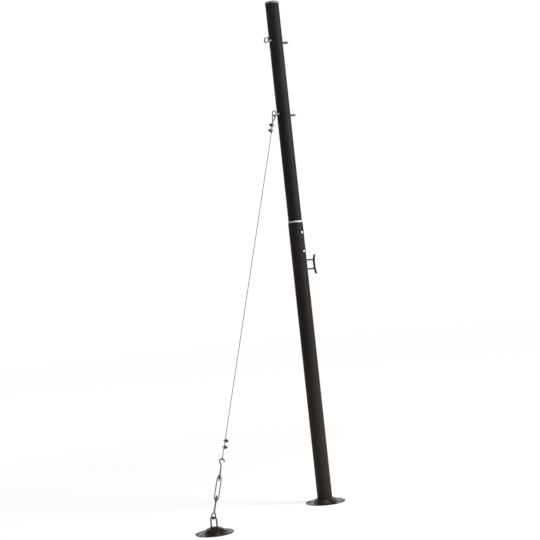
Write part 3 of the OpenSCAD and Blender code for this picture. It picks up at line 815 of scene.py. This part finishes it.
def clip_bolt_skin():
    """A round bar carried down one leg, round half a circle and up the other, its
    radius less a screw's triangle wave along the outer part of both legs."""
    leg = np.arange(CLIP_LEG, CLIP_SCREW, -CLIP_PITCH / 5)
    t = np.linspace(0, np.pi, 33)
    arc = np.stack([-CLIP_HALF * np.cos(t), -CLIP_HALF * np.sin(t), 0 * t], -1)
    down = np.stack([-CLIP_HALF + 0 * leg, leg, 0 * leg], -1)
    up = down[::-1] * [-1, 1, 1]
    path = np.concatenate([down, [[-CLIP_HALF, 3, 0]], arc, [[CLIP_HALF, 3, 0]], up])
    count = 20
    turns = np.linspace(0, 1, count + 1)
    cut = threaded(path[:, 1:2], turns[None], CLIP_PITCH, CLIP_THREAD, CLIP_SCREW,
                   CLIP_LEG - 0.6)
    radius = (CLIP_BAR + cut) / CLIP_BAR
    bar = circle(CLIP_BAR, count)[None] * radius[..., None]
    skin = carried(path, [0, 0, 1], bar)
    return [grid + [STRAND_GAP / 2, 0, 0] for grid in [skin] + ending(skin, path)]


def saddle_skin():
    """A forged bridge: an outline with two raised ends and two wire grooves, carried
    along the wire and drawn in at both faces."""
    wide = CLIP_HALF + SADDLE_FOOT
    low = WIRE_R + CLEARANCE
    high = low + SADDLE_H
    g = STRAND_GAP / 2
    right = [[g - 1.3, low], [g, low + 0.9], [g + 1.6, low], [wide, low + 0.6],
             [wide, high - 0.6], [wide - 0.8, high], [2.4, high]]
    left = [[-x, y] for x, y in right]
    outline = rounded(left[3::-1] + [[0, low - 0.5]] + right + [[0, high - 2.2]] + left[:3:-1],
                      0.4, 3, closed=True)
    half_z = np.array([-1, -1, -0.95, -0.8, -0.55, -0.3])
    half_size = np.array([0, 0.5, 0.6, 0.74, 0.9, 0.98])
    z = SADDLE_L / 2 * np.concatenate([half_z, [0], -half_z[::-1]])
    size = np.concatenate([half_size, [1], half_size[::-1]])
    middle = np.array([0, (low + high) / 2])
    flat = middle + (outline[None] - middle) * size[:, None, None]
    block = np.concatenate([flat, z[:, None, None] + 0 * flat[..., :1]], -1)
    return [block + [STRAND_GAP / 2, 0, 0]]


def nut_skins(radius, bore, height):
    """A hexagon nut standing on Z: the lesser of the hexagon's radius and a cone at
    each face, with a countersunk bore."""
    count = 97
    angle = np.linspace(0, 2 * np.pi, count)
    hexagon = radius * np.cos(np.pi / 6) / np.cos((angle % (np.pi / 3)) - np.pi / 6)
    rim = np.array([0, 0.25, 0.5, 0.8])
    z = np.concatenate([rim, height - rim[::-1]])
    face_r, slope = 0.87 * radius, 1.15
    cone = face_r + slope * np.minimum(z, height - z)
    outer = np.minimum(hexagon[None], cone[:, None])
    sink = 0.5
    inner = np.array([bore + sink, bore, bore, bore + sink])[:, None] + np.zeros(count)
    r = np.concatenate([outer, inner, outer[:1]])
    h = np.concatenate([z, [height, height - sink, sink, 0, 0]])
    return np.stack([r * np.cos(angle), r * np.sin(angle), h[:, None] + 0 * angle], -1)


def clip_nut_skins():
    """Both nuts of a clip, laid over to stand on Y against the saddle."""
    nut = nut_skins(NUT_R, CLIP_BAR + 0.02, NUT_H)
    laid = np.stack([nut[..., 1], nut[..., 2] + WIRE_R + 2 * CLEARANCE + SADDLE_H,
                     nut[..., 0]], -1)
    return [laid + [STRAND_GAP / 2 + side * CLIP_HALF, 0, 0] for side in (-1, 1)]


clip_zinc = skin_material(
    "clip_zinc", metal_skin, deep=(0.05, 0.0505, 0.05), pale=(0.13, 0.1315, 0.13), grain=500.0,
    smooth=0.34, rough=0.5, bump=0.2, Metallic=0.85)
saddle_zinc = skin_material(
    "saddle_zinc", metal_skin, deep=(0.035, 0.033, 0.026), pale=(0.095, 0.09, 0.073),
    grain=500.0, smooth=0.42, rough=0.58, bump=0.4, Metallic=0.75)
clips = [("top_clip_1", TOP_STRAND - STRAND_RUN, TOP_TURN),
         ("top_clip_2", TOP_STRAND - STRAND_RUN - CLIP_GAP, TOP_TURN),
         ("low_clip_1", LOW_STRAND + STRAND_RUN, LOW_TURN),
         ("low_clip_2", LOW_STRAND + STRAND_RUN + CLIP_GAP, LOW_TURN)]
for name, rise, turn in clips:
    make_piece(name + "_bolt_bent", on_guy(clip_bolt_skin(), rise, turn), name + "_bolt",
               "guy_upper", clip_zinc)
    make_piece(name + "_saddle_forged", on_guy(saddle_skin(), rise, turn), name + "_saddle",
               "guy_upper", saddle_zinc, crease=45)
    make_piece(name + "_nuts_hexagon", on_guy(clip_nut_skins(), rise, turn), name + "_nuts",
               "guy_upper", clip_zinc, crease=25)


# ---- Turnbuckle ----
# A galvanised hook and eye turnbuckle: two rods screwed from opposite ends into an
# open forged body, the upper one bent to a hook, the lower one to a pear eye.

LOOP_BAR = 3.25
ROD_R = 3.6
ROD_IN = 26.0
ROD_OUT = 22.0
ROD_PITCH = 1.25
THREAD_DEPTH = 0.5
BODY_BAR_X = 8.8
BODY_BAR = 2.3
BOSS_H = 16.0
BOSS_R = 5.6


def hook_skin():
    """One bar from the screwed end up the neck and round the hook: its radius is
    the rod's less the screw's wave, then the hook's, and closes in a rounded tip."""
    body_end = BODY_AT + BODY_LEN
    shank = np.arange(body_end - ROD_IN, body_end + ROD_OUT, ROD_PITCH / 6)
    start, tip = np.radians(-25), np.radians(195)
    t = np.linspace(start, tip, 60)
    arc = np.stack([HOOK_R * np.cos(t), 0 * t, HOOK_AT + HOOK_R * np.sin(t)], -1)
    neck = rounded([[0, 0, shank[-1]], [0, 0, HOOK_AT - 16], arc[0], arc[1]],
                   [0, 5.5, 0.3, 0], 8)
    straight = np.stack([0 * shank, 0 * shank, shank], -1)
    path = np.concatenate([straight, evened(neck, 0.8)[1:-1], arc])
    place = np.arange(len(path))
    count = 24
    turns = np.linspace(0, 1, count + 1)
    cut = threaded(path[:, 2:], turns[None], ROD_PITCH, THREAD_DEPTH, shank[0], shank[-1] - 6)
    cut = np.where((place < len(shank))[:, None], cut, 0)
    slim = np.interp(place, [len(shank) - 6, len(shank) + 8], [0, ROD_R - LINK_BAR])
    left = place[::-1] * (HOOK_R * (tip - start) / (len(arc) - 1))
    tip_len = 4.5
    close = np.sqrt(np.clip(1 - (1 - np.clip(left / tip_len, 0, 1)) ** 2, 0.0, 1))
    radius = (ROD_R + cut - slim[:, None]) * close[:, None]
    skin = carried(path, [0, 1, 0], circle(1.0, count)[None] * radius[..., None])
    end = np.stack([np.repeat(path[0][None], count + 1, 0), skin[0]])
    return [skin, end]


def body_skins():
    """Two bosses whose oval section widens from round to the spread of the bars, and
    two bars that swing out of one boss, run straight and swing into the other."""
    f = np.linspace(0, 1, 13)
    t = np.linspace(0, 2 * np.pi, 65)
    half_x = BOSS_R * (1 + f ** 1.5)
    half_y = BOSS_R + 0.5 * np.sin(f * np.pi)
    z = BOSS_H * f
    c, s = np.cos(t), np.sin(t)
    power = 0.85
    oval = np.stack([half_x[:, None] * np.sign(c) * np.abs(c) ** power,
                     half_y[:, None] * np.sign(s) * np.abs(s) ** power,
                     z[:, None] + 0 * t], -1)
    bore, sink = ROD_R + 0.12, 0.5
    hole = np.stack([bore * c, bore * s, 0 * t], -1)
    lip = np.stack([(bore + sink) * c, (bore + sink) * s, 0 * t], -1)
    end_face = BOSS_H + 0.6
    rings = [lip, *oval, oval[-1] * [0.94, 0.9, 1] + [0, 0, end_face - BOSS_H],
             lip + [0, 0, end_face], hole + [0, 0, end_face - sink], hole + [0, 0, sink], lip]
    boss = np.stack(rings)
    swing = rounded([[BOSS_R, 0, BOSS_H - 7], [BODY_BAR_X, 0, BOSS_H + 3],
                     [BODY_BAR_X, 0, BODY_LEN - BOSS_H - 3],
                     [BOSS_R, 0, BODY_LEN - BOSS_H + 7]], [0, 7, 7, 0], 8)
    path = evened(swing, 1.5)
    thick = 1 + 0.25 * np.exp(-from_ends(len(path)) / 5.0)
    bar = carried(path, [0, 1, 0], circle(BODY_BAR, 24), thick)
    side = [bar] + ending(bar, path)
    other = [grid * [-1, 1, 1] for grid in side]
    top = boss * [1, 1, -1] + [0, 0, BODY_LEN]
    return [boss, top] + side + other


def pull_eye_skins():
    """The pear eye is a round bar carried down one side, round the loop's bar and up
    the other; the rod above it is turned about Z with the screw's wave."""
    low_r = 11.0
    low_z = low_r - LOOP_BAR - LINK_BAR - CLEARANCE
    apex = 22.0
    a = np.arcsin(low_r / (apex - low_z))
    t = np.linspace(np.pi - a, 2 * np.pi + a, 60)
    arc = np.stack([low_r * np.cos(t), 0 * t, low_z + low_r * np.sin(t)], -1)
    path = evened(np.concatenate([[[0, 0, apex]], arc, [[0, 0, apex]]]), 1.0, 2)
    ring = carried(path, [0, 1, 0], circle(LINK_BAR, 24))
    rod_foot = apex + 2
    height = np.arange(rod_foot, BODY_AT + ROD_IN, ROD_PITCH / 6)
    count = 24
    turns = np.linspace(0, 1, count + 1)
    cut = threaded(height[:, None], turns[None], ROD_PITCH, THREAD_DEPTH, apex + 14, height[-1])
    r = ROD_R + cut + 1.0 * np.exp(-(height - rod_foot) / 3.0)[:, None]
    angle = 2 * np.pi * turns
    rod = np.stack([r * np.cos(angle), r * np.sin(angle), height[:, None] + 0 * angle], -1)
    foot = np.stack([[0.0, 2.4, 3.8], [apex - 3.2, apex - 2.4, apex]], -1)
    foot = np.concatenate([spun(foot, count), rod[:1]])
    top = np.stack([rod[-1], np.repeat([[0, 0, height[-1]]], count + 1, 0)])
    return [ring] + ending(ring, path) + [np.concatenate([foot[:-1], rod]), top]


turnbuckle_zinc = skin_material(
    "turnbuckle_zinc", metal_skin, deep=(0.06, 0.058, 0.055), pale=(0.15, 0.147, 0.141),
    grain=380.0, smooth=0.34, rough=0.52, bump=0.3, Metallic=0.85)
make_piece("turnbuckle_hook_bent", on_guy(hook_skin(), 0, HOOK_TURN), "turnbuckle_hook",
           "guy_upper", turnbuckle_zinc)
make_piece("turnbuckle_body_forged", on_guy(body_skins(), BODY_AT, HOOK_TURN),
           "turnbuckle_body", "turnbuckle", turnbuckle_zinc)
make_piece("turnbuckle_eye_bent", on_guy(pull_eye_skins()), "turnbuckle_eye", "guy_lower",
           turnbuckle_zinc)


# ---- Anchor loop ----
# A round steel bar bent to a narrow arch, its feet let into the anchor plate's dome
# and welded there, painted with it.

LOOP_W = 38.0


def loop_skins():
    """A circle carried up one leg, over two rounded corners and down the other,
    swelling to a weld bead where each leg meets the dome."""
    half = LOOP_W / 2
    foot, bend = 12.0, 13.5
    arch = rounded([[-half, 0, foot], [-half, 0, LOOP_H], [half, 0, LOOP_H], [half, 0, foot]],
                   [0, bend, bend, 0], 16)
    path = evened(arch, 0.8)
    dome_at = DOME_H - ANCHOR["ball"] + np.sqrt(ANCHOR["ball"] ** 2 - half ** 2)
    bead, bead_h = 0.55, 1.7
    swell = 1 + bead * np.exp(-((path[:, 2] - dome_at) / bead_h) ** 2)
    bar = carried(path, [0, 1, 0], circle(LOOP_BAR, 32), swell)
    return [np.stack([-grid[..., 1], grid[..., 0], grid[..., 2]], -1) + ANCHOR_AT
            for grid in [bar] + ending(bar, path)]


loop_paint = skin_material(
    "loop_paint", paint_skin, deep=(0.006, 0.0058, 0.0056), pale=(0.012, 0.0115, 0.011),
    grain=600.0, smooth=0.28, rough=0.42, bump=0.3, Specular_IOR_Level=0.2)
make_piece("anchor_loop_bent", loop_skins(), "anchor_loop", "ground", loop_paint)


# ---- Floor, light and camera ----
# A plain pale floor under a soft even light, the stronger panel on the right, and
# the camera at waist height, on the side of the guy and the joint's screws. Lengths
# are in metres here.

FLOOR_HALF = 30.0
floor_mesh = bpy.data.meshes.new("floor")
corners = [(x * FLOOR_HALF, y * FLOOR_HALF, 0) for x, y in ((-1, -1), (1, -1), (1, 1), (-1, 1))]
floor_mesh.from_pydata(corners, [], [(0, 1, 2, 3)])
floor = bpy.data.objects.new("floor", floor_mesh)
bpy.context.scene.collection.objects.link(floor)


def seen_rays(tree):
    """One for the rays that look at the background: from the camera, or by way of a
    mirror or glass; nought for those that carry light to the object."""
    path = tree.nodes.new("ShaderNodeLightPath")
    seen = path.outputs["Is Camera Ray"]
    for label in ("Is Glossy Ray", "Is Transmission Ray"):
        seen = math_in(tree, "MAXIMUM", seen, path.outputs[label])
    return seen


def distance_in(tree, place, point):
    """Adds the distance from place to a fixed point."""
    gap = tree.nodes.new("ShaderNodeVectorMath")
    gap.operation = "DISTANCE"
    tree.links.new(place, gap.inputs[0])
    gap.inputs[1].default_value = point
    return gap.outputs["Value"]


# the floor glows for the rays that look at it, by what the lights leave it short of
# white: more far from the mast, less round the place that the right panel lights most
MAST_FOOT = (0.0, 0.0, 0.0)
PANEL_FOOT = (0.8, -1.95, 0.0)
floor_pale = bpy.data.materials.new("floor_pale")
floor_pale.use_nodes = True
tree = floor_pale.node_tree
surface = tree.nodes["Principled BSDF"]
surface.inputs["Base Color"].default_value = (0.3, 0.3, 0.3, 1)
surface.inputs["Roughness"].default_value = 0.9
surface.inputs["Specular IOR Level"].default_value = 0.0
surface.inputs["Emission Color"].default_value = (1, 1, 1, 1)
spot = tree.nodes.new("ShaderNodeTexCoord").outputs["Object"]
around_mast = spread_in(tree, distance_in(tree, spot, MAST_FOOT), low=0.7, high=5.0,
                        to_low=0.65, to_high=0.87)
around_panel = spread_in(tree, distance_in(tree, spot, PANEL_FOOT), low=0.2, high=1.6,
                         to_low=0.35, to_high=1.0)
lift = math_in(tree, "MULTIPLY", around_mast, around_panel)
tree.links.new(math_in(tree, "MULTIPLY", seen_rays(tree), lift),
               surface.inputs["Emission Strength"])
floor_mesh.materials.append(floor_pale)

world = bpy.data.worlds.new("studio")
bpy.context.scene.world = world
world.use_nodes = True
tree = world.node_tree
sky = tree.nodes["Background"]
sky.inputs["Color"].default_value = (1, 1, 1, 1)
level = spread_in(tree, seen_rays(tree), low=0.0, high=1.0, to_low=0.4, to_high=1.0)
tree.links.new(level, sky.inputs["Strength"])

VIEW_FROM = np.array([-3.415, -3.300, 0.861])
VIEW_TURN = np.radians(44.075)
VIEW_RISE = np.radians(2.965)
VIEW_ROLL = np.radians(-5.352)
VIEW_LENS = 66.85
level_ahead = np.array([np.sin(VIEW_TURN), np.cos(VIEW_TURN), 0.0])
ahead = level_ahead * np.cos(VIEW_RISE) + [0, 0, np.sin(VIEW_RISE)]
level_right = np.array([np.cos(VIEW_TURN), -np.sin(VIEW_TURN), 0.0])
level_up = np.cross(level_right, ahead)
right = level_right * np.cos(VIEW_ROLL) + level_up * np.sin(VIEW_ROLL)
up = level_up * np.cos(VIEW_ROLL) - level_right * np.sin(VIEW_ROLL)


def stood(axes, place):
    """The matrix that stands an object at place with its X, Y and Z along axes."""
    return Matrix([[*row, p] for row, p in zip(np.stack(axes, -1), place)] + [[0, 0, 0, 1]])


def soft_panel(name, place, aim, width, height, power):
    """A rectangular softbox at place that faces aim."""
    lamp = bpy.data.lights.new(name, "AREA")
    lamp.shape = "RECTANGLE"
    lamp.size, lamp.size_y, lamp.energy = width, height, power
    panel = bpy.data.objects.new(name, lamp)
    away = (place - aim) / np.linalg.norm(place - aim)
    wide = np.cross([0, 0, 1.0], away)
    wide /= np.linalg.norm(wide)
    panel.matrix_world = stood([wide, np.cross(away, wide), away], place)
    bpy.context.scene.collection.objects.link(panel)


# every panel faces the middle of the mast and its guy
middle = np.array([-0.3, 0.0, 1.1])
soft_panel("panel_right", middle + 3.0 * level_right - 1.0 * ahead + [0, 0, 1.2], middle,
           width=1.4, height=3.0, power=210.0)
soft_panel("panel_left", middle - 3.2 * level_right - 2.2 * ahead + [0, 0, 1.0], middle,
           width=1.8, height=2.6, power=25.0)
soft_panel("panel_above", middle - 0.6 * ahead + [0, 0, 3.4], middle,
           width=3.0, height=3.0, power=60.0)

camera_data = bpy.data.cameras.new("camera")
camera_data.sensor_width = 36.0
camera_data.lens = VIEW_LENS
camera = bpy.data.objects.new("camera", camera_data)
camera.matrix_world = stood([right, up, -ahead], VIEW_FROM)
bpy.context.scene.collection.objects.link(camera)
bpy.context.scene.camera = camera
bpy.context.scene.view_settings.view_transform = "Standard"
